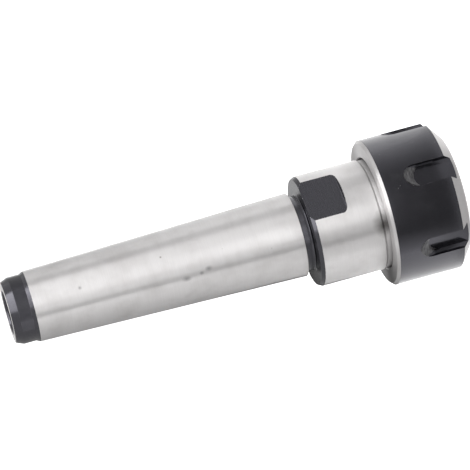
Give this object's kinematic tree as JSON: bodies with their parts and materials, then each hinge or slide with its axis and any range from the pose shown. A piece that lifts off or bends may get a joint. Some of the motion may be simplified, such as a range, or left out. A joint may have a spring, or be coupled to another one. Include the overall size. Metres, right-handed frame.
{
  "type": "collet chuck holder",
  "caption": "Spring collet chuck on a number 3 Morse taper shank with a drawbar thread and a slotted clamping nut.",
  "frame": {"origin": "centre of the clamping nut's front face, which the chuck stands on", "axes": "+Z along the chuck's axis, from the nut's front face to the drawbar end of the shank; +X square to one of the two spanner flats"},
  "size_m": [0.042, 0.042, 0.1295],
  "materials": {
    "ground_steel": "fine ground round the axis, bright, with a black oxidised tail end",
    "black_oxide_steel": "black oxidised satin steel, with the front cone and the rear face turned bright",
    "collet_steel": "hardened and finely ground"
  },
  "bodies": {
    "nut": {"clamping_nut": "black_oxide_steel"},
    "collet": {"collet": "collet_steel"},
    "holder": {"holder_body": "ground_steel"}
  },
  "joints": [
    {"name": "nut_spin", "type": "hinge", "parent": "nut", "child": "collet", "pos_m": [0, 0, 0.0114], "axis": [0, 0, 1], "range_deg": [0, 2520]},
    {"name": "thread_travel", "type": "slide", "parent": "collet", "child": "holder", "axis": [0, 0, 1], "range_m": [0, 0.0105]}
  ],
  "couplings": [
    {"joint": "nut_spin", "follows": "thread_travel", "rad_per_m": 4188.8}
  ]
}
